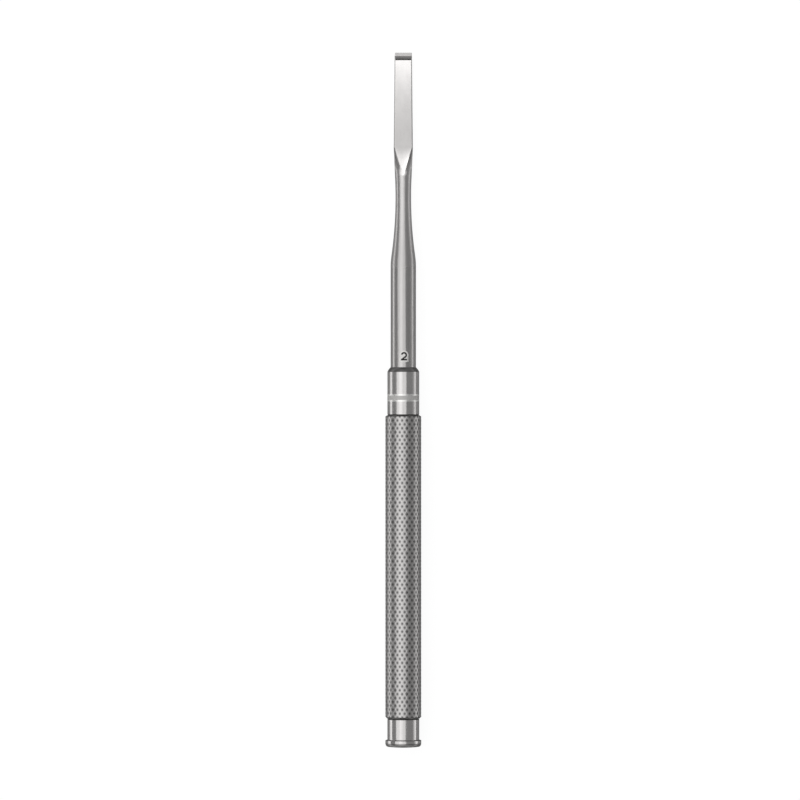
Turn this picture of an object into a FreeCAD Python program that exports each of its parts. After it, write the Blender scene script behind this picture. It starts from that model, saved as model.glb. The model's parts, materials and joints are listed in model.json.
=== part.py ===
import FreeCAD, Part
import math
import os
from FreeCAD import Vector

# A bone chisel, turned, knurled and ground from one bar of stainless steel, in millimetres.
# It lies on its side on a surface: +Y runs from the struck face to the cutting edge, +Z is up,
# and the bevelled face of the blade looks up. The origin is on the surface, under the middle.
# "Along" is the distance from the top of the struck face, and "up" is measured from the axis.

# Striking end: a domed, rounded rim on a plain tail
rim_diameter = 8.8
face_crown = 0.3            # how far the struck face bulges
rim_edge_round = 0.8
rim_land = 0.66             # the straight part of the rim
rim_cone_length = 0.19      # from the rim down to the tail
rim_cone_foot_round = 0.1
tail_diameter = 7.8
tail_length = 5.17          # with the V groove at the grip

# Knurled grip: rows of four-sided points that crossing left and right hand grooves leave
grip_diameter = 8.8         # over the points
grip_length = 74.13         # with both run-outs
knurl_depth = 0.28          # from the points down to where two grooves cross
knurl_points_around = 22
knurl_pitch = 1.91          # from point to point along the grip
knurl_start_angle = 4.7     # how far the first crossing is turned from straight up
rear_runout = 0.42          # the chamfer at the tail
front_runout = 0.28         # the broken corner at the collar
runout_rise = 0.06          # how far the run-outs end above the tail and the collar
relief_width = 0.25         # the V groove turned at either end of the grip
relief_depth = 0.12

# Collar and its chamfer
collar_diameter = 7.8
collar_length = 10.6
collar_chamfer_length = 1.15
collar_chamfer_round = 0.8
collar_chamfer_foot_round = 0.3

# Shank, its taper and the round neck
shank_diameter = 6.2
shank_length = 24.4
taper_length = 17.2
taper_shoulder_radius = 22.0
waist_diameter = 3.81
neck_length = 5.2           # from the waist to where the round section ends
neck_end_diameter = 4.08

# Run-out from the round neck to the flat blade
runout_length = 6.9
face_apex_half_angle = 8.0   # half of the arc in which the flat of the blade ends on the neck
side_apex_half_angle = 15.0  # the same for the narrow sides

# Blade, ground flat, with one bevel and a fine edge
blade_length = 23.3
blade_root_width = 4.66
blade_tip_width = 4.2
blade_thickness = 1.3
blade_edge_round = 0.2
bevel_angle = 45.0
edge_length = 0.85          # the fine edge in front of the bevel
edge_angle = 12.5
edge_land = 0.04            # what is left of the thickness at the cutting edge

# Worked out from the sizes above
tail_start = face_crown + rim_edge_round + rim_land + rim_cone_length
grip_start = tail_start + tail_length
grip_end = grip_start + grip_length
collar_end = grip_end + collar_length
shank_start = collar_end + collar_chamfer_length
shank_end = shank_start + shank_length
waist = shank_end + taper_length
neck_end = waist + neck_length
blade_root = neck_end + runout_length
overall_length = blade_root + blade_length
axis_height = max(rim_diameter, grip_diameter) / 2


def at(across, along, up):
    """Give a place on the chisel in the part's own frame."""
    return Vector(across, along - overall_length / 2, axis_height + up)


def on_circle(radius, along, angle):
    """Give a point at a radius from the axis; the angle in degrees starts at +X and rises to +Z."""
    turn = math.radians(angle)
    return at(radius * math.cos(turn), along, radius * math.sin(turn))


def arc_about_axis(radius, along, start, end):
    """Give the arc about the axis from one angle to another."""
    middle = on_circle(radius, along, (start + end) / 2)
    return Part.Arc(on_circle(radius, along, start), middle, on_circle(radius, along, end)).toShape()


def rounded_line(corners):
    """Join (along, radius, rounding) corners by straight edges, with a tangent arc at each rounding."""
    points = [at(radius, along, 0) for along, radius, _ in corners]
    edges = []
    reached = points[0]
    for before, corner, after, (_, _, rounding) in zip(points, points[1:], points[2:], corners[1:]):
        back = (before - corner).normalize()
        ahead = (after - corner).normalize()
        half_turn = (math.pi - back.getAngle(ahead)) / 2
        if rounding > 0:
            reach = rounding * math.tan(half_turn)
            start = corner + back * reach
            end = corner + ahead * reach
            inward = (back + ahead).normalize()
            middle = corner + inward * (rounding / math.cos(half_turn) - rounding)
            edges.append(Part.makeLine(reached, start))
            edges.append(Part.Arc(start, middle, end).toShape())
            reached = end
        else:
            edges.append(Part.makeLine(reached, corner))
            reached = corner
    edges.append(Part.makeLine(reached, points[-1]))
    return edges


def turned(edges):
    """Close a half outline along the axis and turn it into a solid."""
    first = edges[0].Vertexes[0].Point
    last = edges[-1].Vertexes[-1].Point
    foot = Vector(0, first.y, first.z)
    head = Vector(0, last.y, last.z)
    closed = list(edges)
    if first.distanceToPoint(foot) > 0.001:
        closed.append(Part.makeLine(foot, first))
    closed.append(Part.makeLine(last, head))
    closed.append(Part.makeLine(head, foot))
    outline = Part.Wire(Part.__sortEdges__(closed))
    return Part.Face(outline).revolve(at(0, 0, 0), Vector(0, 1, 0), 360)


def striking_end():
    """Turn the domed face, the rim, its cone and the tail."""
    rim = rim_diameter / 2
    tail = tail_diameter / 2
    face = rim - rim_edge_round
    dome_radius = (face ** 2 + face_crown ** 2) / (2 * face_crown)
    halfway = dome_radius - math.sqrt(dome_radius ** 2 - (face / 2) ** 2)
    dome = Part.Arc(at(0, 0, 0), at(face / 2, halfway, 0), at(face, face_crown, 0)).toShape()
    land_start = face_crown + rim_edge_round
    bulge = rim_edge_round * math.sqrt(0.5)
    edge_middle = at(face + bulge, land_start - bulge, 0)
    edge = Part.Arc(at(face, face_crown, 0), edge_middle, at(rim, land_start, 0)).toShape()
    body = rounded_line([
        (land_start, rim, 0),
        (land_start + rim_land, rim, 0),
        (tail_start, tail, rim_cone_foot_round),
        (grip_start - relief_width, tail, 0),
        (grip_start - relief_width / 2, tail - relief_depth, 0),
        (grip_start, tail, 0),
    ])
    return turned([dome, edge] + body)


def shank_taper():
    """Draw the double curve from the shank down to the waist, as two arcs that meet tangent."""
    shank = shank_diameter / 2
    neck = waist_diameter / 2
    drop = shank - neck
    both_radii = (taper_length ** 2 + drop ** 2) / (2 * drop)
    hollow_radius = both_radii - taper_shoulder_radius
    turn = math.asin(taper_length / both_radii)

    def on_shoulder(angle):
        along = shank_end + taper_shoulder_radius * math.sin(angle)
        return at(shank - taper_shoulder_radius * (1 - math.cos(angle)), along, 0)

    def on_hollow(angle):
        along = waist - hollow_radius * math.sin(angle)
        return at(neck + hollow_radius * (1 - math.cos(angle)), along, 0)

    shoulder = Part.Arc(on_shoulder(0), on_shoulder(turn / 2), on_shoulder(turn)).toShape()
    hollow = Part.Arc(on_shoulder(turn), on_hollow(turn / 2), on_hollow(0)).toShape()
    return [shoulder, hollow]


def neck_flare():
    """Draw the neck from the waist to the end of the round section, as one shallow arc."""
    rise = (neck_end_diameter - waist_diameter) / 2
    middle_rise = rise / 4
    return Part.Arc(
        at(waist_diameter / 2, waist, 0),
        at(waist_diameter / 2 + middle_rise, waist + neck_length / 2, 0),
        at(neck_end_diameter / 2, neck_end, 0),
    ).toShape()


def collar_and_shank():
    """Turn the collar, its chamfer, the shank, the taper and the round neck."""
    collar = collar_diameter / 2
    body = rounded_line([
        (grip_end, collar, 0),
        (grip_end + relief_width / 2, collar - relief_depth, 0),
        (grip_end + relief_width, collar, 0),
        (collar_end, collar, collar_chamfer_round),
        (shank_start, shank_diameter / 2, collar_chamfer_foot_round),
        (shank_end, shank_diameter / 2, 0),
    ])
    return turned(body + shank_taper() + [neck_flare()])


def knurled_grip():
    """Build the knurled grip from flat facets, four to a point.

    The points stand on rings half a pitch apart, and each ring is turned by half a point against
    the last. Between two points of a ring lies the place where a left and a right hand groove
    cross. So a ring is a circle of corners that are a point and a crossing by turns, and a plain
    ring ends each run-out.
    """
    point_radius = grip_diameter / 2
    crossing_radius = point_radius - knurl_depth
    corners_around = 2 * knurl_points_around
    first_ring = grip_start + rear_runout
    knurled_length = grip_length - rear_runout - front_runout
    gaps = round(2 * knurled_length / knurl_pitch)
    rear_end_radius = tail_diameter / 2 + runout_rise
    front_end_radius = collar_diameter / 2 + runout_rise

    corners = []
    for ring in range(-1, gaps + 2):
        for step in range(corners_around):
            if ring < 0:
                radius, along = rear_end_radius, grip_start
            elif ring > gaps:
                radius, along = front_end_radius, grip_end
            else:
                is_point = (ring + step) % 2 == 0
                radius = point_radius if is_point else crossing_radius
                along = first_ring + ring * knurled_length / gaps
            angle = 90 - knurl_start_angle - 360 * step / corners_around
            corners.append(on_circle(radius, along, angle))

    def corner(ring, step):
        return (ring + 1) * corners_around + step % corners_around

    facets = []
    for ring in range(0, gaps + 1):
        for step in range(corners_around):
            if (ring + step) % 2 == 0:
                point = corner(ring, step)
                right = corner(ring, step + 1)
                front = corner(ring + 1, step)
                left = corner(ring, step - 1)
                rear = corner(ring - 1, step)
                facets += [(point, right, front), (point, front, left)]
                facets += [(point, left, rear), (point, rear, right)]
    for ring, plain, hand in ((0, -1, -1), (gaps, gaps + 1, 1)):
        for step in range(corners_around):
            if (ring + step) % 2 == 1:
                crossing = corner(ring, step)
                facets.append((crossing, corner(plain, step + hand), corner(plain, step)))
                facets.append((crossing, corner(plain, step), corner(plain, step - hand)))

    skin = Part.Shape()
    skin.makeShapeFromMesh((corners, facets), 0.001, False)
    ends = []
    for along, outward in ((grip_start, -1), (grip_end, 1)):
        plane = at(0, along, 0).y
        rim = [edge for edge in skin.Edges if abs(edge.CenterOfMass.y - plane) < 0.001]
        end = Part.Face(Part.Wire(Part.__sortEdges__(rim)))
        if end.normalAt(0, 0).y * outward < 0:
            end.reverse()
        ends.append(end)
    return Part.Solid(Part.Shell(skin.Faces + ends))


def blade_section(along, width):
    """Draw the blade's section: a flat bar with its long edges slightly rounded."""
    rounding = min(blade_edge_round, 0.4 * blade_thickness)
    side = width / 2
    face = blade_thickness / 2
    bulge = rounding * math.sqrt(0.5)
    edges = []
    for x_sign, z_sign in ((1, 1), (-1, 1), (-1, -1), (1, -1)):
        near_side = at(x_sign * side, along, z_sign * (face - rounding))
        near_face = at(x_sign * (side - rounding), along, z_sign * face)
        middle = at(
            x_sign * (side - rounding + bulge), along, z_sign * (face - rounding + bulge)
        )
        on_side_first = x_sign == z_sign
        start, end = (near_side, near_face) if on_side_first else (near_face, near_side)
        edges.append(Part.Arc(start, middle, end).toShape())
    section = []
    for corner, following in zip(edges, edges[1:] + edges[:1]):
        section.append(corner)
        section.append(Part.makeLine(corner.Vertexes[1].Point, following.Vertexes[0].Point))
    return Part.Wire(section)


def neck_section():
    """Draw the end of the round neck, split to match the blade's section edge for edge."""
    radius = neck_end_diameter / 2
    side = side_apex_half_angle
    face = face_apex_half_angle
    stops = [side, 90 - face, 90 + face, 180 - side, 180 + side, 270 - face, 270 + face, 360 - side]
    edges = []
    for start, end in zip(stops, stops[1:] + [360 + side]):
        edges.append(arc_about_axis(radius, neck_end, start, end))
    return Part.Wire(edges)


def round_to_flat():
    """Rule the run-out: flat V faces in front and behind, and conical corners between them."""
    return Part.makeLoft([neck_section(), blade_section(blade_root, blade_root_width)], True, True)


def blade():
    """Taper the bar to its tip, then grind the bevel and the fine edge on its upper face."""
    bar = Part.makeLoft(
        [
            blade_section(blade_root, blade_root_width),
            blade_section(overall_length, blade_tip_width),
        ],
        True,
        True,
    )
    back = -blade_thickness / 2
    edge_rise = edge_land + edge_length * math.tan(math.radians(edge_angle))
    edge_start = overall_length - edge_length
    bevel_start = edge_start - (blade_thickness - edge_rise) / math.tan(math.radians(bevel_angle))
    reach = blade_root_width + blade_tip_width
    side_view = Part.makePolygon([
        at(-reach, blade_root, back),
        at(-reach, overall_length, back),
        at(-reach, overall_length, back + edge_land),
        at(-reach, edge_start, back + edge_rise),
        at(-reach, bevel_start, -back),
        at(-reach, blade_root, -back),
        at(-reach, blade_root, back),
    ])
    return bar.common(Part.Face(side_view).extrude(Vector(2 * reach, 0, 0)))


def chisel():
    """Join the turned, knurled and ground stretches into the one solid that the bar is."""
    joined = striking_end().fuse([knurled_grip(), collar_and_shank(), round_to_flat(), blade()])
    return joined.Solids[0]


os.makedirs("parts", exist_ok=True)
chisel().exportStep("parts/bone_chisel.step")
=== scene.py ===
import json
import math

import bpy
import numpy as np
from bpy.props import FloatProperty, FloatVectorProperty, IntProperty, PointerProperty
from bpy.types import Operator, Panel, PropertyGroup
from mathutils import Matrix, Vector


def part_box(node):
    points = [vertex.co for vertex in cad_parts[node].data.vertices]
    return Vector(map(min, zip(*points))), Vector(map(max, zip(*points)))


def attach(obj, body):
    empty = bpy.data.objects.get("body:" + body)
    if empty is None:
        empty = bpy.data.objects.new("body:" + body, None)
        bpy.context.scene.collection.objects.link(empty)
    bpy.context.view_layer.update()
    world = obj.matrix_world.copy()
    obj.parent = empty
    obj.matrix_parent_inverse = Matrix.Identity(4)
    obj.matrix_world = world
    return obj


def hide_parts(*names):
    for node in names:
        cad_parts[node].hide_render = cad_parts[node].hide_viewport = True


# A bone chisel, turned, knurled and ground from one bar of stainless steel. It lies on its side:
# +Y runs from the struck face to the cutting edge and +Z is up. Lengths are in metres, and "along"
# is the distance from the top of the struck face.

bl_info = {
    "name": "Bone Chisel Finish",
    "version": (1, 0, 0),
    "blender": (4, 5, 0),
    "location": "View3D > Sidebar > Bone Chisel",
    "description": "Knurled, turned and ground steel for a bone chisel, with its studio",
    "category": "Object",
}

MM = 0.001
MICRON = 0.001 * MM

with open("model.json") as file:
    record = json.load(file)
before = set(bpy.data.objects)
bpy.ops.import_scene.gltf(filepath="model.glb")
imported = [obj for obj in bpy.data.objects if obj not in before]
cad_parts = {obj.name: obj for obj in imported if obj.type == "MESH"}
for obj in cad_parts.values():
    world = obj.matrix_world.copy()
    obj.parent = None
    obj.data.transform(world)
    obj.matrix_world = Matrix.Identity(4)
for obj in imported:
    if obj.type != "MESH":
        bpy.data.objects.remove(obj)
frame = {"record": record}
NODE = "bone_chisel"
NODE_LOW, NODE_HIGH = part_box(NODE)
OVERALL_LENGTH = NODE_HIGH.y - NODE_LOW.y
GRIP_DIAMETER = NODE_HIGH.z - NODE_LOW.z
AXIS_HEIGHT = NODE_LOW.z + GRIP_DIAMETER / 2
START_Y = NODE_LOW.y
MOUNTS = {mount["name"]: mount for mount in frame["record"]["mounts"]}
SHANK_DIAMETER = 2 * MM * MOUNTS["shank"]["dims"]["r_mm"]
COLLAR_DIAMETER = 2 * MM * MOUNTS["collar"]["dims"]["r_mm"]

# How many rings each stretch of the bar has.
DOME_RINGS = 9
RIM_EDGE_RINGS = 9
ROUNDING_RINGS = 6
CHAMFER_RINGS = 8
SHANK_RINGS = 5
SHOULDER_RINGS = 15
HOLLOW_RINGS = 23
FLARE_RINGS = 9
RUNOUT_RINGS = 32
FLAT_RINGS = 9
BEVEL_RINGS = 8
FINE_EDGE_RINGS = 3

# How many points each stretch of a ring has: across a groove's pitch, and round the blade.
GROOVE_STEPS = 6
FACE_STEPS = 12
CORNER_STEPS = 20
SIDE_STEPS = 14
HALF_RING = FACE_STEPS + CORNER_STEPS + SIDE_STEPS + CORNER_STEPS
CORNER_STARTS = [
    half + corner for half in (0, HALF_RING) for corner in (FACE_STEPS, HALF_RING - CORNER_STEPS)
]
CORNER_SHARES = np.arange(CORNER_STEPS) / CORNER_STEPS

# The first ring's radius, as a share of the face's.
INNERMOST_RING = 0.08

LEAN_SEED = 22

# A distance too small to matter, for telling places along the bar apart.
HAIR = 0.001 * MM

# The numeral's strokes: points along them, the hook's turn, and how deep the thin shells reach into
# the shank and how high they stand on it.
STRIP_COLUMNS = 5
HOOK_POINTS = 30
HOOK_START, HOOK_END = math.radians(170), math.radians(-35)
LEG_POINTS = 12
MARK_ROOT = 0.02 * MM
RIM_RISE = 0.003 * MM
NUMERAL_RISE = 0.006 * MM

SMOOTH_ANGLE = math.radians(20.0)

# The marks of a brush along a turned bar and of a fine belt along a ground one: what squeezes their
# lines along X, Y and Z, and lines to a millimetre. A brush's are about 0.01 mm wide, too fine to
# show, and are drawn at nine to a millimetre. A belt's are about 0.03 mm apart, drawn at fourteen to
# a millimetre and over two millimetres long. The pale and dark clouds are one or two millimetres
# wide, as the hand left them.
TURNED = {"lines": ((60.0, 1.0, 60.0), 9.0), "clouds": ((1.0, 0.4, 1.0), 0.9), "shades": (0.96, 1.02)}
GROUND = {"lines": ((1.0, 0.03, 1.0), 14.0), "clouds": ((1.0, 0.5, 1.0), 0.5), "shades": (0.92, 1.04)}
EVEN = (1.0, 1.0, 1.0)

# Most of a noise's values lie in this span.
NOISE_SPAN = (0.25, 0.75)

# A panel of this many watts to the square metre is as bright as white card in full light.
PANEL_WATTS = 4.0
WHITE = (1.0, 1.0, 1.0, 1.0)
FLOOR_REACH = 4.0
SOFTBOX_ENDS = (-0.5, 0.5)
SOFTBOX_HEIGHT = 0.6


def linear(colour):
    """Turn an sRGB hex colour into the linear values that shaders take."""
    shares = [int(colour[place:place + 2], 16) / 255 for place in (1, 3, 5)]
    return [s / 12.92 if s <= 0.04045 else ((s + 0.055) / 1.055) ** 2.4 for s in shares]


def length(name, description, millimetres):
    """Describe a length of the chisel, given in millimetres."""
    return FloatProperty(
        name=name, description=description, default=millimetres * MM, min=0.0,
        precision=5, subtype="DISTANCE", unit="LENGTH",
    )


def angle(name, description, degrees):
    """Describe an angle, given in degrees."""
    return FloatProperty(
        name=name, description=description, default=math.radians(degrees), subtype="ANGLE",
        unit="ROTATION",
    )


def number(name, description, value, low=0.0, high=10.0, subtype="NONE"):
    """Describe a plain number, such as a share or a brightness."""
    return FloatProperty(
        name=name, description=description, default=value, min=low, max=high, subtype=subtype,
    )


def colour(name, description, value):
    """Describe a colour, given as sRGB hex."""
    return FloatVectorProperty(
        name=name, description=description, default=linear(value), size=3, min=0.0, max=1.0,
        subtype="COLOR",
    )


class ChiselEnds(PropertyGroup):
    """The struck end: a domed rim on a plain tail."""

    rim_diameter: length("Rim diameter", "Across the struck rim", 8.8)
    face_crown: length("Face crown", "How far the struck face bulges", 0.22)
    rim_edge_depth: length("Rim edge depth", "Depth of the rim's rounded edge, along the bar", 0.88)
    rim_edge_inset: length("Rim edge inset", "Width of the rim's rounded edge, towards the axis", 0.6)
    rim_land: length("Rim land", "Straight part of the rim", 0.66)
    rim_cone: length("Rim cone", "From the rim down to the tail", 0.19)
    rim_cone_foot_round: length("Cone foot", "Fillet between the cone and the tail", 0.1)
    tail_diameter: length("Tail diameter", "Across the plain tail", 7.8)
    tail_length: length("Tail length", "From the rim's cone to the grip", 5.17)


class ChiselGrip(PropertyGroup):
    """The knurled grip and the V grooves at its ends."""

    length: length("Grip length", "With both chamfered ends", 74.13)
    points_around: IntProperty(
        name="Points around", description="Diamonds round the grip", default=22, min=6,
    )
    rows: IntProperty(name="Rows", description="Half pitches along the grip", default=77, min=2)
    groove_share: number(
        "Groove width", "Share of the pitch that a groove takes", 0.85, 0.05, 0.9, "FACTOR",
    )
    groove_depth: length("Groove depth", "Depth of a groove below the diamonds", 0.04)
    crossing_depth: length("Crossing depth", "How much deeper two grooves cut where they cross", 0.1)
    start_angle: angle("Start angle", "Turn of the first diamond from straight up", 4.7)
    unevenness: length("Unevenness", "Largest lean of a diamond from the rolling", 0.012)
    rear_runout: length("Rear chamfer", "Length of the chamfer at the tail", 0.42)
    front_runout: length("Front chamfer", "Length of the chamfer at the collar", 0.28)
    runout_rise: length("Chamfer rise", "How far the chamfers end above the tail and the collar", 0.06)
    relief_width: length("Groove at the ends", "Width of the V groove at either end", 0.25)
    relief_depth: length("Depth at the ends", "Depth of the V groove at either end", 0.12)


class ChiselShank(PropertyGroup):
    """The collar, the shank, its taper and the round neck."""

    collar_length: length("Collar length", "From the grip to the chamfer", 10.6)
    chamfer_length: length("Chamfer length", "From the collar down to the shank", 1.15)
    chamfer_bulge: length("Chamfer bulge", "How far the chamfer stands proud of a straight cone", 0.09)
    shank_length: length("Shank length", "Straight part of the shank", 24.4)
    taper_length: length("Taper length", "From the shank to the waist", 17.2)
    taper_shoulder: length("Taper shoulder", "Radius where the taper leaves the shank", 22.0)
    waist_diameter: length("Waist diameter", "Across the thinnest place", 3.81)
    neck_length: length("Neck length", "From the waist to the end of the round section", 5.2)
    neck_end_diameter: length("Neck end", "Across the end of the round section", 4.08)
    band_start: length("Band start", "From the grip to the etched band", 3.37)
    band_width: length("Band width", "Width of the etched band on the collar", 1.83)
    band_border: length("Band border", "Width of the bright border on either side", 0.4)


class ChiselBlade(PropertyGroup):
    """The run-out from round to flat, the blade, its bevel and the fine edge."""

    runout_length: length("Run-out", "From the round neck to the flat blade", 6.9)
    face_half_angle: angle("Face on the neck", "Half of the arc in which the flat ends", 4.0)
    side_half_angle: angle("Side on the neck", "Half of the arc in which a narrow side ends", 15.0)
    runout_ease: number(
        "Run-out curve", "1 for a straight run-out, more for one that leaves the flat later", 1.6, 1.0,
    )
    runout_flatness: number(
        "Corner flats", "Share of the run-out in which the corners turn from round to flat",
        0.45, 0.05, 1.0, "FACTOR",
    )
    blade_length: length("Blade length", "From the run-out to the cutting edge", 23.3)
    root_width: length("Root width", "Width of the blade at the run-out", 4.66)
    tip_width: length("Tip width", "Width of the blade at the cutting edge", 4.2)
    thickness: length("Thickness", "Thickness of the blade", 1.3)
    edge_round: length("Long edges", "Radius of the blade's long edges", 0.28)
    bevel_angle: angle("Bevel angle", "Angle of the bevel", 45.0)
    bevel_crown: length("Bevel crown", "How far honing by hand has crowned the bevel", 0.05)
    edge_length: length("Fine edge", "Length of the fine edge before the bevel", 0.85)
    edge_angle: angle("Fine edge angle", "Angle of the fine edge", 12.5)
    edge_land: length("Edge land", "Thickness left at the cutting edge", 0.04)


class ChiselNumeral(PropertyGroup):
    """The plain size numeral on the shank."""

    from_chamfer: length("From the chamfer", "From the collar's chamfer to the numeral's middle", 2.69)
    right_of_top: length("Right of the top", "Middle of the numeral from the top line", 0.17)
    height: length("Height", "Height of the numeral", 2.05)
    width: length("Width", "Width of the numeral", 1.5)
    stroke: length("Stroke", "Width of the numeral's strokes", 0.38)
    halo: length("Halo", "Width of the bleached rim round the strokes", 0.36)


class ChiselColours(PropertyGroup):
    """Colours of the steel and its marks."""

    steel: colour("Steel", "Bare stainless steel", "#CDCBCA")
    # The groove colour is painted shade for the knurl's grooves.
    groove: colour("Groove", "Steel in the grooves of the knurl", "#6C6B6B")
    band: colour("Band", "Etched band on the collar", "#CFCECC")
    border: colour("Border", "Bright lines beside the band and round the numeral", "#F2F1EF")
    mark: colour("Mark", "Oxide of the numeral", "#2B2A2A")
    floor: colour("Floor", "Pale studio floor", "#BCBCBC")


class ChiselStudio(PropertyGroup):
    """Camera and soft studio light."""

    frame_width: length("Frame width", "Width of the picture at the chisel", 195.683)
    lens: number("Lens", "Focal length in millimetres", 250.0, 20.0, 1000.0)
    aside: length("Aside", "How far the camera stands to the left of the chisel's axis", 0.81)
    softbox_left: number("Softbox left", "Brightness of the softbox's left part", 0.67)
    softbox_core: number("Softbox core", "Brightness of the softbox's core", 0.95)
    softbox_right: number("Softbox right", "Brightness of the softbox's right part", 0.76)
    tip_light: number("Tip light", "Brightness of the panel by the cutting edge", 1.2)
    walls: number("Walls", "Grey of the studio's walls on either side", 0.28)
    ends: number("Ends", "Grey of the studio's dark ends", 0.06)
    strip: number("Strip", "Extra grey low on the right wall", 0.25)
    rear_card: number("Rear card", "Grey mirrored beyond the struck end", 0.6)
    front_card: number("Front card", "Grey mirrored beyond the blade", 0.2)


def settings():
    """Give the open scene, which carries the chisel's groups of settings."""
    return bpy.context.scene


class Stations:
    """Places along the chisel, from the top of the struck face, worked out from the sizes."""

    def __init__(self):
        ends, grip = settings().chisel_ends, settings().chisel_grip
        shank, blade = settings().chisel_shank, settings().chisel_blade
        self.land_start = ends.face_crown + ends.rim_edge_depth
        self.tail_start = self.land_start + ends.rim_land + ends.rim_cone
        self.grip_start = self.tail_start + ends.tail_length
        self.grip_end = self.grip_start + grip.length
        self.collar_end = self.grip_end + shank.collar_length
        self.band_start = self.grip_end + shank.band_start
        self.band_end = self.band_start + shank.band_width
        self.shank_start = self.collar_end + shank.chamfer_length
        self.shank_end = self.shank_start + shank.shank_length
        self.waist = self.shank_end + shank.taper_length
        self.neck_end = self.waist + shank.neck_length
        self.blade_root = self.neck_end + blade.runout_length


def rounded_profile(corners):
    """Join (along, radius, rounding) corners by straight lines, with a tangent arc at each rounding.

    At a corner with directions a to the last and b to the next one, the arc of radius q starts
    q / tan(half the angle between a and b) before the corner and ends as far behind it. Its points
    turn evenly from the one normal to the other.
    """
    places = np.array([corner[:2] for corner in corners])
    roundings = [corner[2] for corner in corners[1:]]
    stretches = [places[:1]]
    for before, corner, after, rounding in zip(places, places[1:], places[2:], roundings):
        if rounding == 0:
            stretches.append(corner[None])
            continue
        back = (before - corner) / np.linalg.norm(before - corner)
        ahead = (after - corner) / np.linalg.norm(after - corner)
        half = math.acos(np.clip(back @ ahead, -1, 1)) / 2
        middle = (back + ahead) / np.linalg.norm(back + ahead)
        centre = corner + middle * rounding / math.sin(half)
        sideways = (back - ahead) / np.linalg.norm(back - ahead)
        turn = np.linspace(math.pi / 2 - half, half - math.pi / 2, ROUNDING_RINGS)[:, None]
        stretches.append(centre + rounding * (np.sin(turn) * sideways - np.cos(turn) * middle))
    stretches.append(places[-1:])
    return np.concatenate(stretches)


def struck_end_profile():
    """Give the (along, radius) points of the domed face, the rim, its cone and the tail.

    The dome is an arc of radius (f^2 + c^2) / 2c, for a face of radius f and a crown of c. The rim's
    edge is a quarter of an ellipse, and its last point is where the straight corners start.
    """
    ends, grip, places = settings().chisel_ends, settings().chisel_grip, Stations()
    rim = ends.rim_diameter / 2
    tail = ends.tail_diameter / 2
    face = rim - ends.rim_edge_inset
    dome_radius = (face ** 2 + ends.face_crown ** 2) / (2 * ends.face_crown)
    radius = np.linspace(INNERMOST_RING, 1.0, DOME_RINGS) * face
    dome = np.stack([dome_radius - np.sqrt(dome_radius ** 2 - radius ** 2), radius], 1)
    turn = np.linspace(0, math.pi / 2, RIM_EDGE_RINGS + 1)[1:]
    edge = np.stack([
        places.land_start - ends.rim_edge_depth * np.cos(turn),
        face + ends.rim_edge_inset * np.sin(turn),
    ], 1)
    relief = places.grip_start - grip.relief_width
    body = rounded_profile([
        (places.land_start, rim, 0),
        (places.land_start + ends.rim_land, rim, 0),
        (places.tail_start, tail, ends.rim_cone_foot_round),
        (relief, tail, 0),
        (relief + grip.relief_width / 2, tail - grip.relief_depth, 0),
        (places.grip_start, tail, 0),
        (places.grip_start, tail + grip.runout_rise, 0),
    ])
    return np.concatenate([dome, edge, body[1:]])


def shank_profile():
    """Give the (along, radius) points from the grip's front to the end of the round neck.

    The chamfer is a cone that bulges by a parabola. The taper is a shoulder arc and a hollow arc
    that meet tangent, after an equal turn: for a taper of length t and a drop of d their radii add
    up to (t^2 + d^2) / 2d. The neck flares with the square of the distance from the waist.
    """
    shank, grip, places = settings().chisel_shank, settings().chisel_grip, Stations()
    collar = COLLAR_DIAMETER / 2
    plain = [
        places.grip_end + grip.relief_width, places.band_start, places.band_start + shank.band_border,
        places.band_end - shank.band_border, places.band_end, places.collar_end,
    ]
    body = np.array([
        (places.grip_end, collar + grip.runout_rise),
        (places.grip_end, collar),
        (places.grip_end + grip.relief_width / 2, collar - grip.relief_depth),
        *((along, collar) for along in plain),
    ])
    share = np.linspace(0, 1, CHAMFER_RINGS + 1)[1:]
    step = (COLLAR_DIAMETER - SHANK_DIAMETER) / 2
    slant = math.hypot(step, shank.chamfer_length)
    bulge = 4 * shank.chamfer_bulge * share * (1 - share)
    chamfer = np.stack([
        places.collar_end + shank.chamfer_length * share + bulge * step / slant,
        collar - step * share + bulge * shank.chamfer_length / slant,
    ], 1)
    share = np.linspace(0, 1, SHANK_RINGS + 1)[1:]
    straight = np.stack([
        places.shank_start + shank.shank_length * share,
        np.full_like(share, SHANK_DIAMETER / 2),
    ], 1)
    drop = (SHANK_DIAMETER - shank.waist_diameter) / 2
    both_radii = (shank.taper_length ** 2 + drop ** 2) / (2 * drop)
    hollow = both_radii - shank.taper_shoulder
    steepest = math.asin(shank.taper_length / both_radii)
    turn = np.linspace(0, steepest, SHOULDER_RINGS + 1)[1:]
    shoulder = np.stack([
        places.shank_end + shank.taper_shoulder * np.sin(turn),
        SHANK_DIAMETER / 2 - shank.taper_shoulder * (1 - np.cos(turn)),
    ], 1)
    turn = np.linspace(steepest, 0, HOLLOW_RINGS + 1)[1:]
    hollow_arc = np.stack([
        places.waist - hollow * np.sin(turn),
        shank.waist_diameter / 2 + hollow * (1 - np.cos(turn)),
    ], 1)
    share = np.linspace(0, 1, FLARE_RINGS + 1)[1:]
    flare = np.stack([
        places.waist + shank.neck_length * share,
        shank.waist_diameter / 2 + (shank.neck_end_diameter - shank.waist_diameter) / 2 * share ** 2,
    ], 1)
    return np.concatenate([body, chamfer, straight, shoulder, hollow_arc, flare])


def on_axis(along, radius, angle):
    """Place points by distance along, radius and angle, which counts from the top to the right."""
    along, radius, angle = np.broadcast_arrays(along, radius, angle)
    return np.stack([
        radius * np.sin(angle),
        START_Y + along,
        AXIS_HEIGHT + radius * np.cos(angle),
    ], -1)


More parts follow.
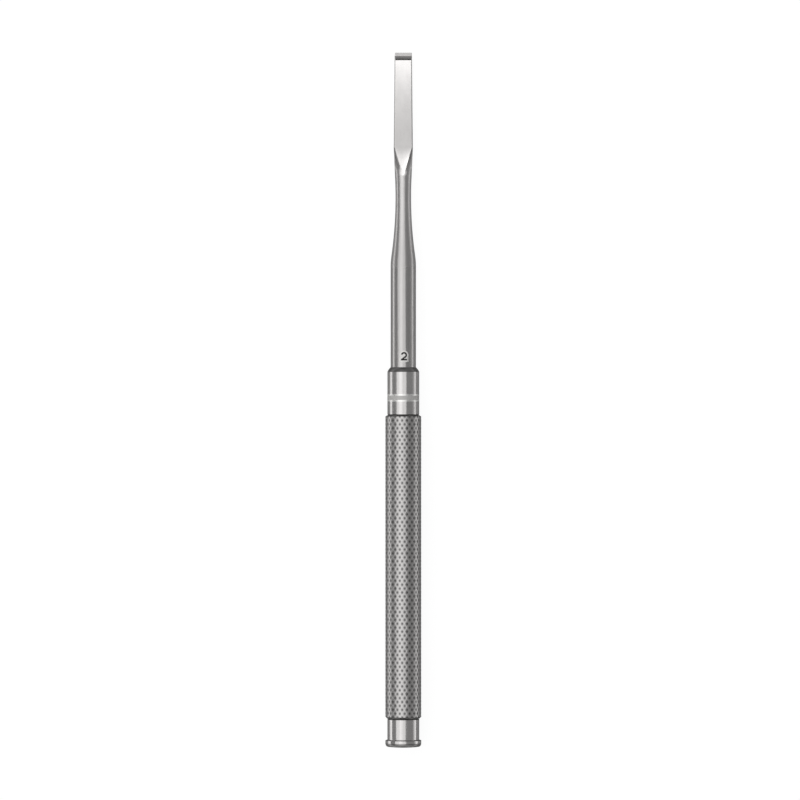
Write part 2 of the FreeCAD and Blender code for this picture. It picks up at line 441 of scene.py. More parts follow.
def groove_places(index, share):
    """Turn grid numbers into places across the grooves: 0 is a groove's middle, 1 the next one's.

    Of the steps in a pitch the first and the last are a groove's flanks, and those between them
    cross the diamond's top.
    """
    half = share / 2
    stops = np.concatenate([[0.0], np.linspace(half, 1 - half, GROOVE_STEPS - 1)])
    return index // GROOVE_STEPS + stops[index % GROOVE_STEPS]


def knurl_points():
    """Work out the knurl as a grid whose lines run along the two families of grooves.

    u counts the right hand grooves and v the left hand ones. A place is turned by (u + v) / 2
    pitches round the axis and lies u - v half pitches along it. A flank goes from 0 at a diamond's
    top to 1 at a groove's bottom. The radius falls by the groove's depth times the larger flank,
    and by the crossing's depth times the product of both. Each diamond's top leans by a small
    amount of its own, as rolling leaves it.
    """
    grip, places = settings().chisel_grip, Stations()
    around = grip.points_around * GROOVE_STEPS
    ahead = grip.rows * GROOVE_STEPS + 1
    row, column = np.meshgrid(np.arange(ahead), np.arange(around), indexing="ij")
    u = groove_places(column, grip.groove_share)
    v = groove_places(column - row, grip.groove_share)
    pitch_angle = 2 * math.pi / grip.points_around
    first = grip.start_angle + pitch_angle / 2
    knurled = grip.length - grip.rear_runout - grip.front_runout
    along = places.grip_start + grip.rear_runout + (u - v) * knurled / grip.rows
    half = grip.groove_share / 2
    flank_u = np.clip(1 - np.abs(u - np.round(u)) / half, 0, 1)
    flank_v = np.clip(1 - np.abs(v - np.round(v)) / half, 0, 1)
    nearer = np.maximum(flank_u, flank_v)
    radius = GRIP_DIAMETER / 2 - grip.groove_depth * nearer
    radius -= grip.crossing_depth * flank_u * flank_v
    generator = np.random.default_rng(LEAN_SEED)
    cells = (grip.points_around + 2, 2 * (grip.points_around + grip.rows))
    lean_u, lean_v = generator.uniform(-1, 1, (2, *cells)) * grip.unevenness
    cell = (np.floor(u).astype(int), np.floor(v).astype(int) + grip.rows)
    on_top = np.isclose(nearer, 0)
    radius += on_top * (lean_u[cell] * (u % 1 - 0.5) + lean_v[cell] * (v % 1 - 0.5))
    angle = first + (u + v) / 2 * pitch_angle
    return along, np.minimum(radius, GRIP_DIAMETER / 2), angle


def neck_angles():
    """Give the angles of the round neck's points, matched to the blade's, stretch by stretch."""
    blade = settings().chisel_blade
    face, side = blade.face_half_angle, blade.side_half_angle
    stops = [-face, face, math.pi / 2 - side, math.pi / 2 + side, math.pi - face]
    steps = [FACE_STEPS, CORNER_STEPS, SIDE_STEPS, CORNER_STEPS]
    half = np.concatenate([
        np.linspace(start, end, count, endpoint=False)
        for start, end, count in zip(stops, stops[1:], steps)
    ])
    return np.concatenate([half, half + math.pi])


def blade_section(half_width):
    """Give (across, up) points of the blade's section, clockwise from the top's left end.

    The corners are quarter circles. The second half is the first one turned half round.
    """
    blade = settings().chisel_blade
    rounding, half_thickness = blade.edge_round, blade.thickness / 2
    side, face = half_width - rounding, half_thickness - rounding
    turn = np.linspace(0, math.pi / 2, CORNER_STEPS, endpoint=False)
    across = np.linspace(-side, side, FACE_STEPS, endpoint=False)
    down = np.linspace(face, -face, SIDE_STEPS, endpoint=False)
    half = np.concatenate([
        np.stack([across, np.full_like(across, half_thickness)], 1),
        np.stack([side + rounding * np.sin(turn), face + rounding * np.cos(turn)], 1),
        np.stack([np.full_like(down, half_width), down], 1),
        np.stack([side + rounding * np.cos(turn), -face - rounding * np.sin(turn)], 1),
    ])
    return np.concatenate([half, -half])


def smooth(share):
    """Ease a share in and out: 3 s^2 - 2 s^3, kept between 0 and 1."""
    share = np.clip(share, 0, 1)
    return share ** 2 * (3 - 2 * share)


def runout_points():
    """Rule the run-out between the round neck and the blade's section.

    Matched points are joined by lines, along which the width changes evenly. The height follows a
    power of the distance from the blade. It is one on the narrow sides, grows round the corners and
    is largest in the middle of the flat, so that the flat runs on as a shallow hollow between two
    rims. Towards the blade the corners are pressed from arcs to their chords, as slanting flats.
    """
    shank, blade, places = settings().chisel_shank, settings().chisel_blade, Stations()
    radius = shank.neck_end_diameter / 2
    angles = neck_angles()
    neck = np.stack([radius * np.sin(angles), radius * np.cos(angles)], 1)
    chords = neck.copy()
    for corner in CORNER_STARTS:
        here, there = neck[corner], neck[(corner + CORNER_STEPS) % len(neck)]
        chords[corner:corner + CORNER_STEPS] = here + (there - here) * CORNER_SHARES[:, None]
    root = blade_section(blade.root_width / 2)
    share = np.linspace(0, 1, RUNOUT_RINGS + 1)[1:, None]
    start = neck + (chords - neck) * smooth(share / blade.runout_flatness)[..., None]
    across = start[..., 0] + (root[:, 0] - start[..., 0]) * share
    from_middle = root[:FACE_STEPS, 0] / root[0, 0]
    half_easing = [
        1 - from_middle ** 2 / 2, 0.5 - 0.5 * CORNER_SHARES, np.zeros(SIDE_STEPS), 0.5 * CORNER_SHARES,
    ]
    power = 1 + (blade.runout_ease - 1) * np.tile(np.concatenate(half_easing), 2)
    up = root[:, 1] + (start[..., 1] - root[:, 1]) * (1 - share) ** power
    along = places.neck_end + blade.runout_length * share
    return np.stack([across, START_Y + along + 0 * across, AXIS_HEIGHT + up], -1)


def blade_points():
    """Taper the blade to its tip, and press its section down to the bevel and the fine edge.

    The upper face's height is the thickness, then a parabola's crown down the bevel and a straight
    line down the fine edge. Each section is squeezed towards the back to that height.
    """
    blade, places = settings().chisel_blade, Stations()
    edge_rise = blade.edge_land + blade.edge_length * math.tan(blade.edge_angle)
    edge_start = OVERALL_LENGTH - blade.edge_length
    bevel_start = edge_start - (blade.thickness - edge_rise) / math.tan(blade.bevel_angle)
    down_bevel = np.linspace(0, 1, BEVEL_RINGS + 1)[1:]
    down_edge = np.linspace(0, 1, FINE_EDGE_RINGS + 1)[1:]
    along = np.concatenate([
        np.linspace(places.blade_root, bevel_start, FLAT_RINGS + 1)[1:],
        bevel_start + (edge_start - bevel_start) * down_bevel,
        edge_start + blade.edge_length * down_edge,
    ])
    crown = 4 * blade.bevel_crown * down_bevel * (1 - down_bevel)
    height = np.concatenate([
        np.full(FLAT_RINGS, blade.thickness),
        blade.thickness + (edge_rise - blade.thickness) * down_bevel + crown,
        edge_rise + (blade.edge_land - edge_rise) * down_edge,
    ])
    root = blade_section(blade.root_width / 2)
    tip = blade_section(blade.tip_width / 2)
    share = (along[:, None] - places.blade_root) / blade.blade_length
    across = root[:, 0] + (tip[:, 0] - root[:, 0]) * share
    back = -blade.thickness / 2
    up = back + (root[:, 1] - back) * height[:, None] / blade.thickness
    return np.stack([across, START_Y + along[:, None] + 0 * across, AXIS_HEIGHT + up], -1)


class ChiselBar:
    """The rings of the whole bar, from the struck face to the cutting edge, with their finishes."""

    # Some finishes carry painted light: the grooves and chamfers, the rim's edge and the run-out's
    # corners have painted shade, the taper and the run-out's flats a painted highlight.
    FINISHES = (
        "turned", "knurled", "band", "border", "blade", "bevel", "rough", "shank", "taper", "flat",
        "corner", "edge",
    )

    def __init__(self):
        self.rings = []
        self.finish = []

    def add(self, points, finish, last=None):
        """Add rings with the finish of the skin up to the next ring, and another one for the last.

        A finish is one name, a column of numbers for the rings, or a row of numbers round the bar.
        """
        cells = np.empty(points.shape[:2], int)
        cells[:] = self.FINISHES.index(finish) if isinstance(finish, str) else finish
        if last is not None:
            cells[-1] = self.FINISHES.index(last) if isinstance(last, str) else last
        self.rings.append(points)
        self.finish.append(cells)

    def pick(self, usual, **stretches):
        """Number the finish of each ring: the usual one, or the last named stretch that it is in."""
        numbers = np.full(len(next(iter(stretches.values()))), self.FINISHES.index(usual))
        for name, inside in stretches.items():
            numbers[inside] = self.FINISHES.index(name)
        return numbers[:, None]

    def runout_finish(self):
        """Number the finishes round the run-out: flats with a painted highlight, between corners and
        sides with painted shade.
        """
        numbers = np.full(2 * HALF_RING, self.FINISHES.index("corner"))
        for face in (0, HALF_RING):
            numbers[face:face + FACE_STEPS] = self.FINISHES.index("flat")
        return numbers


def between(profile, start, end):
    """Say which rings of a profile start a stretch from one place along the bar to before another."""
    return (profile[:, 0] > start - HAIR) & (profile[:, 0] < end - HAIR)


def ring_faces(rows, columns):
    """Number the corners of the skin between closed rings, two triangles to a cell.

    Each cell is cut from its first corner to the one opposite, which is a groove's direction.
    """
    row, column = np.meshgrid(np.arange(rows - 1), np.arange(columns), indexing="ij")
    here = row * columns + column
    beside = row * columns + (column + 1) % columns
    ahead = here + columns
    across = beside + columns
    return np.stack([here, beside, across, here, across, ahead], -1).reshape(-1, 3)


def cap_faces(pole, columns):
    """Close the struck face by a fan from the pole to the first ring."""
    column = np.arange(columns)
    return np.stack([np.full(columns, pole), (column + 1) % columns, column], 1)


def tip_faces(columns):
    """Close the cutting edge by strips between matching points of the upper and the back face.

    The strips start at the middle of the right side and end at the middle of the left one.
    """
    middle = FACE_STEPS + CORNER_STEPS + SIDE_STEPS // 2
    step = np.arange(columns // 2)
    upper, upper_next = (middle - step) % columns, (middle - step - 1) % columns
    back, back_next = (middle + step) % columns, (middle + step + 1) % columns
    return np.concatenate([
        np.stack([upper_next, upper, back_next], 1)[:-1],
        np.stack([upper, back, back_next], 1)[1:],
    ])


def make_piece(name, points, triangles, materials, finish=None):
    """Put points and triangles into a mesh, shade it smooth between its creases, and let it ride."""
    mesh = bpy.data.meshes.new(name)
    mesh.vertices.add(len(points))
    mesh.vertices.foreach_set("co", points.astype(np.float32).ravel())
    mesh.loops.add(3 * len(triangles))
    mesh.loops.foreach_set("vertex_index", triangles.astype(np.int32).ravel())
    mesh.polygons.add(len(triangles))
    mesh.polygons.foreach_set("loop_start", np.arange(0, 3 * len(triangles), 3, dtype=np.int32))
    mesh.polygons.foreach_set("use_smooth", np.ones(len(triangles), bool))
    if finish is not None:
        mesh.polygons.foreach_set("material_index", finish.astype(np.int32))
    for material in materials:
        mesh.materials.append(material)
    mesh.update(calc_edges=True)
    mesh.set_sharp_from_angle(angle=SMOOTH_ANGLE)
    mesh.validate()
    piece = bpy.data.objects.new(name, mesh)
    bpy.context.scene.collection.objects.link(piece)
    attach(piece, "root")
    return piece


def add_node(tree, kind, values=None, **attributes):
    """Add a node with its settings; a value that is another node's socket is linked."""
    node = tree.nodes.new(kind)
    for name, value in attributes.items():
        setattr(node, name, value)
    for name, value in (values or {}).items():
        if isinstance(value, bpy.types.NodeSocket):
            tree.links.new(value, node.inputs[name])
        else:
            node.inputs[name].default_value = value
    return node


def rgba(value):
    """Give a colour property as four linear values."""
    return (*value, 1.0)


def start_material(name):
    """Start a material: its empty tree, and the coordinates that keep its pattern on the piece."""
    material = bpy.data.materials.new(name)
    material.use_nodes = True
    tree = material.node_tree
    tree.nodes.clear()
    place = add_node(tree, "ShaderNodeTexCoord")
    return material, tree, place.outputs["Object"]


def marks(tree, place, squeeze, per_mm):
    """Give a noise with so many marks to a millimetre, times what squeezes them along X, Y and Z."""
    mapping = add_node(tree, "ShaderNodeMapping", {"Vector": place, "Scale": squeeze})
    noise = add_node(tree, "ShaderNodeTexNoise", {
        "Vector": mapping.outputs["Vector"], "Scale": per_mm / MM, "Detail": 3.0, "Roughness": 0.6,
    })
    return noise.outputs["Fac"]


def shaded(tree, base, value, span, shades, **attributes):
    """Scale a colour's brightness from one share to another while a value crosses a span."""
    shade = add_node(tree, "ShaderNodeMapRange", {
        "Value": value, "From Min": span[0], "From Max": span[1],
        "To Min": shades[0], "To Max": shades[1],
    }, **attributes)
    tint = add_node(tree, "ShaderNodeVectorMath", {
        "Vector": base, "Scale": shade.outputs["Result"],
    }, operation="SCALE")
    return tint.outputs["Vector"]


def finish_steel(tree, tint, pattern, roughness, depth, metallic=1.0):
    """End a steel with its shader. Its marks are a noise, which sets roughness and relief alike."""
    blur = add_node(tree, "ShaderNodeMapRange", {
        "Value": pattern, "From Min": NOISE_SPAN[0], "From Max": NOISE_SPAN[1],
        "To Min": roughness[0], "To Max": roughness[1],
    })
    relief = add_node(tree, "ShaderNodeBump", {"Strength": 1.0, "Distance": depth, "Height": pattern})
    shader = add_node(tree, "ShaderNodeBsdfPrincipled", {
        "Base Color": tint,
        "Metallic": metallic,
        "Roughness": blur.outputs["Result"],
        "Normal": relief.outputs["Normal"],
    })
    add_node(tree, "ShaderNodeOutputMaterial", {"Surface": shader.outputs["BSDF"]})


def brushed_steel(name, way, roughness, shade=1.0, painted_fade=None):
    """Stainless steel, turned or ground and then brushed: it mirrors the room a little blurred.

    A painted fade is painted highlight or shade: a span along the bar and the shares of brightness at
    its ends.
    """
    material, tree, place = start_material(name)
    lines = marks(tree, place, *way["lines"])
    cloud = marks(tree, place, *way["clouds"])
    shades = [share * shade for share in way["shades"]]
    tint = shaded(tree, tuple(settings().chisel_colours.steel), cloud, NOISE_SPAN, shades)
    if painted_fade:
        ahead = add_node(tree, "ShaderNodeSeparateXYZ", {"Vector": place}).outputs["Y"]
        tint = shaded(tree, tint, ahead, *painted_fade, interpolation_type="SMOOTHSTEP")
    finish_steel(tree, tint, lines, roughness, 0.6 * MICRON)
    return material


def knurled_steel():
    """Rolled knurl: worn tops with a soft shine, and painted shade that darkens the steel down in the
    grooves.

    The colour turns between a fifth and four fifths of the deepest cut. The rolled steel's grain is
    under 0.05 mm, and is drawn at six grains to a millimetre so that it shows.
    """
    material, tree, place = start_material("knurled_stainless_groove_shade")
    grip, colours = settings().chisel_grip, settings().chisel_colours
    from_axis = add_node(tree, "ShaderNodeMapping", {
        "Vector": place, "Location": (0.0, 0.0, -AXIS_HEIGHT), "Scale": (1.0, 0.0, 1.0),
    })
    radius = add_node(tree, "ShaderNodeVectorMath", {
        "Vector": from_axis.outputs["Vector"],
    }, operation="LENGTH")
    deepest = grip.groove_depth + grip.crossing_depth
    low, high = (GRIP_DIAMETER / 2 - share * deepest for share in (0.8, 0.2))
    height = add_node(tree, "ShaderNodeMapRange", {
        "Value": radius.outputs["Value"], "From Min": low, "From Max": high,
    })
    # Painted shade: the steel darkens towards the bottom of the grooves.
    mix = add_node(tree, "ShaderNodeMix", {
        "Factor": height.outputs["Result"], "A": rgba(colours.groove), "B": rgba(colours.steel),
    }, data_type="RGBA")
    grain = marks(tree, place, EVEN, 6.0)
    tint = shaded(tree, mix.outputs["Result"], grain, NOISE_SPAN, (0.8, 0.92))
    finish_steel(tree, tint, grain, (0.25, 0.36), 1.5 * MICRON)
    return material


def etched_steel(name, value, roughness, per_mm=12.0, shades=(0.94, 1.0), metallic=1.0):
    """Steel frosted by an etch or a laser: even and matt, so that it stands out from the mirror.

    The frost's pits are about 0.01 mm across, too fine to show, and are drawn at twelve to a
    millimetre, or as a laser's spots at twenty.
    """
    material, tree, place = start_material(name)
    pits = marks(tree, place, EVEN, per_mm)
    tint = shaded(tree, tuple(value), pits, NOISE_SPAN, shades)
    finish_steel(tree, tint, pits, roughness, 1.0 * MICRON, metallic)
    return material


def bar_materials():
    """Make the bar's materials, in the order of FINISHES."""
    colours, places = settings().chisel_colours, Stations()
    taper = START_Y + places.shank_end, START_Y + places.waist
    runout = START_Y + places.neck_end, START_Y + places.blade_root
    return [
        # Polished bright, so that the softbox shows in it with crisp edges.
        brushed_steel("turned_stainless", TURNED, (0.15, 0.23)),
        knurled_steel(),
        # Frosted pale, between two lines that shine more.
        etched_steel("etched_band", colours.band, (0.6, 0.7)),
        etched_steel("etched_border", colours.border, (0.3, 0.4)),
        # Ground lengthwise, which gives the blade an even silky grey, and its bevel more shine.
        brushed_steel("ground_blade", GROUND, (0.26, 0.36), shade=0.86),
        brushed_steel("ground_bevel", GROUND, (0.16, 0.22), shade=0.8),
        # Left as the tool cut it, in the grooves and chamfers: dull, and darkened by painted shade.
        brushed_steel("tool_turned_painted_shade", TURNED, (0.3, 0.4), shade=0.27),
        # Satin, softer than the collar. On the taper a painted highlight brightens it towards the
        # waist.
        brushed_steel("brushed_shank", TURNED, (0.2, 0.3), shade=0.84),
        brushed_steel("brushed_taper_painted_highlight", TURNED, (0.25, 0.34), painted_fade=(taper, (0.84, 0.94))),
        # A painted highlight where the flat ends on the neck; it is as grey as the blade at its root.
        brushed_steel("ground_flat_painted_highlight", GROUND, (0.26, 0.36), painted_fade=(runout, (1.1, 0.88))),
        # Corners with painted shade, which turn from the neck's brightness to a dark grey beside the
        # blade.
        brushed_steel("corner_painted_shade", GROUND, (0.26, 0.36), painted_fade=(runout, (0.95, 0.45))),
        # The struck rim's rounded edge: a little rougher, and darkened by painted shade.
        brushed_steel("turned_edge_painted_shade", TURNED, (0.25, 0.35), shade=0.45),
    ]


def match_columns(reached):
    """Turn the neck's angles so that they start nearest to a ring that has been reached.

    Gives the angles, unwrapped next to that ring's, and by how many points the ring was turned.
    """
    angles = neck_angles()
    count = len(angles)
    gap = (angles - reached[0] + math.pi) % (2 * math.pi) - math.pi
    first = int(np.argmin(np.abs(gap)))
    index = first + np.arange(count)
    turned = angles[index % count] + 2 * math.pi * (index // count)
    turned += reached[0] + gap[first] - turned[0]
    return turned, first


def join_rings():
    """Join the rings of the whole bar, and say by how many columns the blade's are turned.

    The knurl sets the angles of the struck end and the collar. Along the shank and the taper they
    turn smoothly into those that the run-out and the blade need.
    """
    ends, grip, shank = settings().chisel_ends, settings().chisel_grip, settings().chisel_shank
    bar, places = ChiselBar(), Stations()
    knurl_along, knurl_radius, knurl_angle = knurl_points()

    profile = struck_end_profile()
    # The grooves at the grip's end and the rim's cone are darkened by painted shade.
    finish = bar.pick(
        "turned",
        rough=between(profile, places.grip_start - grip.relief_width, places.grip_start + 2 * HAIR)
        | between(profile, places.tail_start - ends.rim_cone, places.tail_start),
        edge=between(profile, ends.face_crown, places.land_start),
    )
    bar.add(on_axis(profile[:, :1], profile[:, 1:], knurl_angle[0]), finish)
    # The knurl's last ring is darkened by painted shade.
    bar.add(on_axis(knurl_along, knurl_radius, knurl_angle), "knurled", last="rough")

    profile = shank_profile()
    blade_angles, turned_by = match_columns(knurl_angle[-1])
    share = (profile[:, :1] - places.collar_end) / (places.neck_end - places.collar_end)
    angles = knurl_angle[-1] + (blade_angles - knurl_angle[-1]) * smooth(share)
    band_inside = places.band_start + shank.band_border, places.band_end - shank.band_border
    # The groove at the grip's front and the collar's chamfer are darkened by painted shade.
    finish = bar.pick(
        "turned",
        shank=between(profile, places.shank_start, places.shank_end),
        taper=between(profile, places.shank_end, places.neck_end),
        rough=between(profile, places.grip_end, places.grip_end + grip.relief_width)
        | between(profile, places.collar_end, places.shank_start),
        border=between(profile, places.band_start, places.band_end),
        band=between(profile, *band_inside),
    )
    runout_finish = np.roll(bar.runout_finish(), -turned_by)
    bar.add(on_axis(profile[:, :1], profile[:, 1:], angles), finish, last=runout_finish)

    bar.add(np.roll(runout_points(), -turned_by, axis=1), runout_finish, last="blade")
    blade = np.roll(blade_points(), -turned_by, axis=1)
    bar.add(blade[:FLAT_RINGS - 1], "blade")
    bar.add(blade[FLAT_RINGS - 1:], "bevel")
    return bar, turned_by


class CHISEL_OT_steel_bar(Operator):
    """Make the one steel bar: struck end, knurl, collar, shank, neck and blade"""

    bl_idname = "chisel.steel_bar"
    bl_label = "Steel Bar"

    def execute(self, context):
        bar, turned_by = join_rings()
        rings = np.concatenate(bar.rings)
        rows, columns = rings.shape[:2]
        points = np.concatenate([rings.reshape(-1, 3), on_axis(0.0, 0.0, 0.0)[None]])
        cap = cap_faces(rows * columns, columns)
        tip = (tip_faces(columns) - turned_by) % columns + (rows - 1) * columns
        triangles = np.concatenate([ring_faces(rows, columns), cap, tip])
        finish = np.concatenate([
            np.repeat(np.concatenate(bar.finish)[:-1].ravel(), 2),
            np.full(len(cap), bar.FINISHES.index("turned")),
            np.full(len(tip), bar.FINISHES.index("bevel")),
        ])
        piece = make_piece("chisel_bar", points, triangles, bar_materials(), finish)
        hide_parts(NODE)
        return {"FINISHED"}


def swept_strip(path, width, low, high):
    """Sweep a flat strip along a path on the shank and close it into a thin shell.

    The path gives (right, ahead) places on the unrolled shank. The strip's edges lie half a width to
    either side, at right angles to the path. A place is then rolled up: its distance to the right is
    an arc about the axis, and its height adds to the shank's radius.
    """
    tangent = np.gradient(path, axis=0)
    tangent /= np.linalg.norm(tangent, axis=1, keepdims=True)
    normal = np.stack([tangent[:, 1], -tangent[:, 0]], 1)
    across = np.linspace(-0.5, 0.5, STRIP_COLUMNS) * width
    upper = path[:, None] + normal[:, None] * across[None, :, None]
    lower = upper[:, ::-1]
    flat = np.concatenate([upper, lower], 1)
    height = np.repeat([high, low], STRIP_COLUMNS)
    radius = SHANK_DIAMETER / 2 + height
    angle = flat[..., 0] / (SHANK_DIAMETER / 2)
    points = np.stack([
        radius * np.sin(angle),
        flat[..., 1],
        AXIS_HEIGHT + radius * np.cos(angle),
    ], -1)
    rows, ring = points.shape[:2]
    triangles = ring_faces(rows, ring)
    cap = np.arange(STRIP_COLUMNS - 1)
    start = np.concatenate([
        np.stack([cap, ring - 1 - cap, cap + 1], 1),
        np.stack([cap + 1, ring - 1 - cap, ring - 2 - cap], 1),
    ])
    end = start[:, ::-1] + (rows - 1) * ring
    return points.reshape(-1, 3), np.concatenate([triangles, start, end])


def numeral_paths():
    """Give the two strokes of the numeral: the hook with its slanted leg, and the foot.

    The hook is a circle's arc about the upper bowl, and the leg is the straight line that leaves it
    down to the foot's left end.
    """
    numeral = settings().chisel_numeral
    inset = numeral.stroke / 2
    left, right = inset - numeral.width / 2, numeral.width / 2 - inset
    top, foot = numeral.height / 2 - inset, inset - numeral.height / 2
    bowl = (right - left) / 2
    centre = np.array([(left + right) / 2, top - bowl])
    turn = np.linspace(HOOK_START, HOOK_END, HOOK_POINTS)
    hook = centre + bowl * np.stack([np.cos(turn), np.sin(turn)], 1)
    down = np.linspace(0, 1, LEG_POINTS)[1:, None]
    leg = hook[-1] + (np.array([left, foot]) - hook[-1]) * down
    along_foot = np.linspace(left - inset, right + inset, LEG_POINTS)
    base = np.stack([along_foot, np.full(LEG_POINTS, foot)], 1)
    return np.concatenate([hook, leg]), base


def numeral_piece(name, grow, low, high, material):
    """Make the numeral's strokes as one piece, grown on every side by a width."""
    numeral, places = settings().chisel_numeral, Stations()
    middle = np.array([numeral.right_of_top, START_Y + places.shank_start + numeral.from_chamfer])
    points, triangles, reached = [], [], 0
    for path in numeral_paths():
        ahead = (path[0] - path[1]) / np.linalg.norm(path[0] - path[1]) * grow
        behind = (path[-1] - path[-2]) / np.linalg.norm(path[-1] - path[-2]) * grow
        if grow:
            path = np.concatenate([[path[0] + ahead], path, [path[-1] + behind]])
        width = numeral.stroke + 2 * grow
        stroke_points, stroke_triangles = swept_strip(path + middle, width, low, high)
        points.append(stroke_points)
        triangles.append(stroke_triangles + reached)
        reached += len(stroke_points)
    return make_piece(name, np.concatenate(points), np.concatenate(triangles), [material])


class CHISEL_OT_size_numeral(Operator):
    """Mark the shank with a plain size numeral and the bleached rim that the laser leaves round it"""

    bl_idname = "chisel.size_numeral"
    bl_label = "Size Numeral"

    def execute(self, context):
        halo, colours = settings().chisel_numeral.halo, settings().chisel_colours
        # Steel bleached by the laser's heat: pale and matt.
        rim = etched_steel("laser_bleached", colours.border, (0.65, 0.75))
        numeral_piece("numeral_rim", halo, -MARK_ROOT, RIM_RISE, rim)
        # Its dark oxide: matt, with a little of the metal's sheen.
        oxide = etched_steel("oxide_mark", colours.mark, (0.5, 0.65), 20.0, (0.8, 1.1), metallic=0.4)
        numeral_piece("size_numeral", 0.0, -MARK_ROOT, NUMERAL_RISE, oxide)
        return {"FINISHED"}


def soft_panel(name, sides, ends, height, brightness):
    """Hang a level soft panel between two places across and two along, as bright as grey card."""
    width, depth = sides[1] - sides[0], ends[1] - ends[0]
    light = bpy.data.lights.new(name, "AREA")
    light.shape = "RECTANGLE"
    light.size, light.size_y = width, depth
    light.energy = brightness * width * depth * PANEL_WATTS
    lamp = bpy.data.objects.new(name, light)
    lamp.location = (sum(sides) / 2, sum(ends) / 2, height)
    lamp.visible_camera = False
    bpy.context.scene.collection.objects.link(lamp)


def pale_floor():
    """Painted board: white to the eye, and white in the steel except close to the chisel.

    The eye sees it mostly as a glow, and for the rest as paint that takes the chisel's faint shadow.
    The steel mirrors the paint up to a distance from a line beside the chisel, and then the glow.
    """
    line, paint_to, glow_from = 8 * MM, 22 * MM, 36 * MM
    glow_share, glow = 0.7, 1.32
    material, tree, place = start_material("painted_board")
    material.cycles.emission_sampling = "NONE"
    aside = add_node(tree, "ShaderNodeSeparateXYZ", {"Vector": place})
    offset = add_node(tree, "ShaderNodeMath", {0: aside.outputs["X"], 1: line}, operation="SUBTRACT")
    distance = add_node(tree, "ShaderNodeMath", {0: offset.outputs["Value"]}, operation="ABSOLUTE")
    far = add_node(tree, "ShaderNodeMapRange", {
        "Value": distance.outputs["Value"], "From Min": paint_to, "From Max": glow_from,
    }, interpolation_type="SMOOTHSTEP")
    rays = add_node(tree, "ShaderNodeLightPath").outputs
    mirrored = add_node(tree, "ShaderNodeMath", {
        0: rays["Is Glossy Ray"], 1: rays["Is Transmission Ray"],
    }, operation="ADD", use_clamp=True)
    far_mirrored = add_node(tree, "ShaderNodeMath", {
        0: mirrored.outputs["Value"], 1: far.outputs["Result"],
    }, operation="MULTIPLY")
    seen = add_node(tree, "ShaderNodeMath", {
        0: rays["Is Camera Ray"], 1: glow_share,
    }, operation="MULTIPLY")
    share = add_node(tree, "ShaderNodeMath", {
        0: seen.outputs["Value"], 1: far_mirrored.outputs["Value"],
    }, operation="ADD", use_clamp=True)
    board = add_node(tree, "ShaderNodeBsdfDiffuse", {"Color": rgba(settings().chisel_colours.floor)})
    white = add_node(tree, "ShaderNodeEmission", {"Color": WHITE, "Strength": glow})
    mix = add_node(tree, "ShaderNodeMixShader", {
        0: share.outputs["Value"], 1: board.outputs["BSDF"], 2: white.outputs["Emission"],
    })
    add_node(tree, "ShaderNodeOutputMaterial", {"Surface": mix.outputs["Shader"]})
    return material


def studio_world():
    """Studio walls, seen only by light and in the steel, round a white background.

    The walls are dim, and darker at the chisel's ends. The steel also mirrors a card beyond the
    struck end, another beyond the blade, and white below the horizon. Each part of the room fades
    in between two places of a direction's X, Y or Z.
    """
    world = bpy.data.worlds.new("studio")
    world.use_nodes = True
    world.cycles.sampling_method = "NONE"
    tree = world.node_tree
    tree.nodes.clear()
    studio = settings().chisel_studio
    rays = add_node(tree, "ShaderNodeLightPath").outputs
    place = add_node(tree, "ShaderNodeTexCoord")
    towards = add_node(tree, "ShaderNodeSeparateXYZ", {"Vector": place.outputs["Generated"]}).outputs
    aside = add_node(tree, "ShaderNodeMath", {0: towards["X"], 1: 0.0}, operation="ABSOLUTE")
    room = {
        "walls": (aside.outputs["Value"], 0.1, 0.45, studio.ends, studio.walls),
        "strip": (towards["X"], 0.95, 0.98, 0.0, studio.strip),
        "rear": (towards["Y"], -0.45, -0.8, 0.0, studio.rear_card),
        "front": (towards["Y"], 0.45, 0.75, 0.0, studio.front_card),
        "raised": (towards["Z"], 0.1, 0.3, 0.0, 1.0),
    }
    for part, (value, start, end, low, high) in room.items():
        room[part] = add_node(tree, "ShaderNodeMapRange", {
            "Value": value, "From Min": start, "From Max": end, "To Min": low, "To Max": high,
        }, interpolation_type="SMOOTHSTEP").outputs["Result"]
    room["camera"] = rays["Is Camera Ray"]
    room["below"] = add_node(tree, "ShaderNodeMath", {
        0: towards["Z"], 1: 0.0,
    }, operation="LESS_THAN").outputs["Value"]
    room["mirrored"] = add_node(tree, "ShaderNodeMath", {
        0: rays["Is Glossy Ray"], 1: rays["Is Transmission Ray"],
    }, operation="ADD", use_clamp=True).outputs["Value"]
    for part, operation, first, second in (
        ("all walls", "ADD", "walls", "strip"),
        ("both cards", "ADD", "rear", "front"),
        ("raised cards", "MULTIPLY", "both cards", "raised"),
        ("mirrored cards", "MULTIPLY", "raised cards", "mirrored"),
        ("brightness", "ADD", "all walls", "mirrored cards"),
        ("mirrored below", "MULTIPLY", "mirrored", "below"),
        ("white", "ADD", "camera", "mirrored below"),
    ):
        room[part] = add_node(tree, "ShaderNodeMath", {
            0: room[first], 1: room[second],
        }, operation=operation, use_clamp=part == "white").outputs["Value"]
    dim = add_node(tree, "ShaderNodeBackground", {"Color": WHITE, "Strength": room["brightness"]})
    white = add_node(tree, "ShaderNodeBackground", {"Color": WHITE})
    mix = add_node(tree, "ShaderNodeMixShader", {
        0: room["white"], 1: dim.outputs["Background"], 2: white.outputs["Background"],
    })
    add_node(tree, "ShaderNodeOutputWorld", {"Surface": mix.outputs["Shader"]})
    bpy.context.scene.world = world


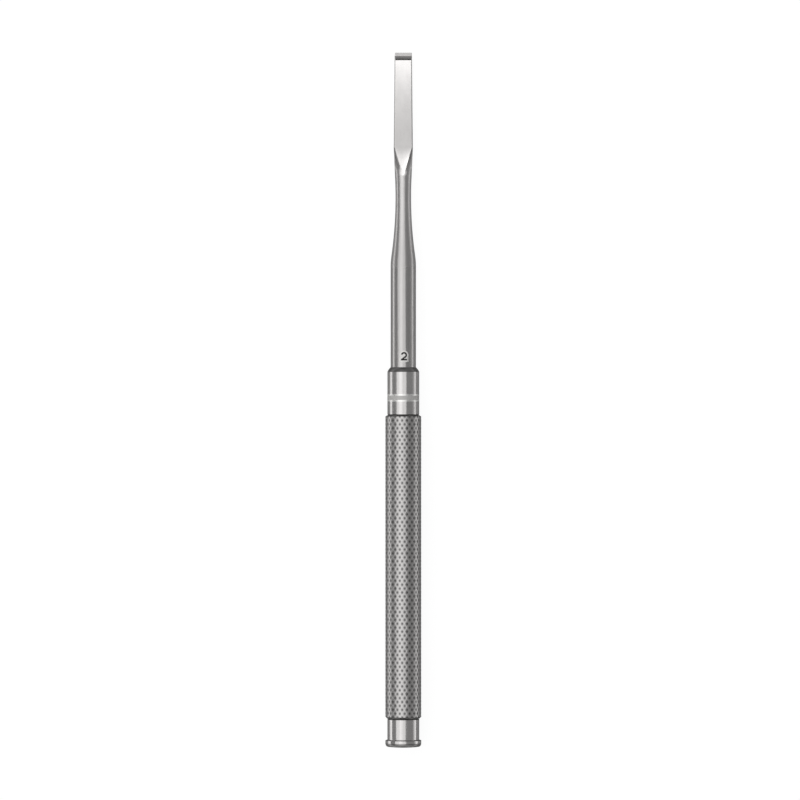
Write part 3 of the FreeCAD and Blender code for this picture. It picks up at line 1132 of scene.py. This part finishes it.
class CHISEL_OT_studio(Operator):
    """Lay the pale floor, hang the soft panels and set the camera over the chisel"""

    bl_idname = "chisel.studio"
    bl_label = "Studio"

    def execute(self, context):
        studio, scene = settings().chisel_studio, context.scene
        mesh = bpy.data.meshes.new("floor")
        corners = FLOOR_REACH * np.array([(-1, -1, 0), (1, -1, 0), (1, 1, 0), (-1, 1, 0)])
        mesh.from_pydata(corners.tolist(), [], [(0, 1, 2, 3)])
        mesh.materials.append(pale_floor())
        floor = bpy.data.objects.new("floor", mesh)
        scene.collection.objects.link(floor)

        soft_panel("softbox_left", (-0.74, -0.31), SOFTBOX_ENDS, SOFTBOX_HEIGHT, studio.softbox_left)
        soft_panel("softbox_core", (-0.31, -0.05), SOFTBOX_ENDS, SOFTBOX_HEIGHT, studio.softbox_core)
        soft_panel("softbox_right", (-0.05, 0.2), SOFTBOX_ENDS, SOFTBOX_HEIGHT, studio.softbox_right)
        soft_panel("tip_panel", (-0.04, 0.04), (0.0825, 0.106), 0.055, studio.tip_light)
        studio_world()

        camera_data = bpy.data.cameras.new("camera")
        camera_data.lens = studio.lens
        camera_data.sensor_width = 36.0
        distance = studio.frame_width * camera_data.lens / camera_data.sensor_width
        camera_data.clip_start, camera_data.clip_end = 0.01, 20.0
        camera = bpy.data.objects.new("camera", camera_data)
        camera.location = (-studio.aside, 0.0, AXIS_HEIGHT + distance)
        scene.collection.objects.link(camera)
        scene.camera = camera
        scene.view_settings.view_transform = "Standard"
        return {"FINISHED"}


class CHISEL_PT_panel(Panel):
    """Buttons and sizes of the bone chisel"""

    bl_label = "Bone Chisel"
    bl_idname = "CHISEL_PT_panel"
    bl_space_type = "VIEW_3D"
    bl_region_type = "UI"
    bl_category = "Bone Chisel"

    def draw(self, context):
        for operator in OPERATORS:
            self.layout.operator(operator.bl_idname)
        for name in GROUPS:
            box = self.layout.box()
            group = getattr(context.scene, name)
            for key in group.__annotations__:
                box.prop(group, key)


GROUPS = {
    "chisel_ends": ChiselEnds,
    "chisel_grip": ChiselGrip,
    "chisel_shank": ChiselShank,
    "chisel_blade": ChiselBlade,
    "chisel_numeral": ChiselNumeral,
    "chisel_colours": ChiselColours,
    "chisel_studio": ChiselStudio,
}
OPERATORS = (CHISEL_OT_steel_bar, CHISEL_OT_size_numeral, CHISEL_OT_studio)
CLASSES = (*GROUPS.values(), *OPERATORS, CHISEL_PT_panel)


def register():
    """Register the classes and hang the settings on the scene."""
    for cls in CLASSES:
        bpy.utils.register_class(cls)
    for name, group in GROUPS.items():
        setattr(bpy.types.Scene, name, PointerProperty(type=group))


def unregister():
    """Take the settings and the classes away again."""
    for name in GROUPS:
        delattr(bpy.types.Scene, name)
    for cls in reversed(CLASSES):
        bpy.utils.unregister_class(cls)


def main():
    """Make every piece and the studio."""
    register()
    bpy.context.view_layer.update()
    bpy.ops.chisel.steel_bar()
    bpy.ops.chisel.size_numeral()
    bpy.ops.chisel.studio()


if __name__ == "__main__":
    main()
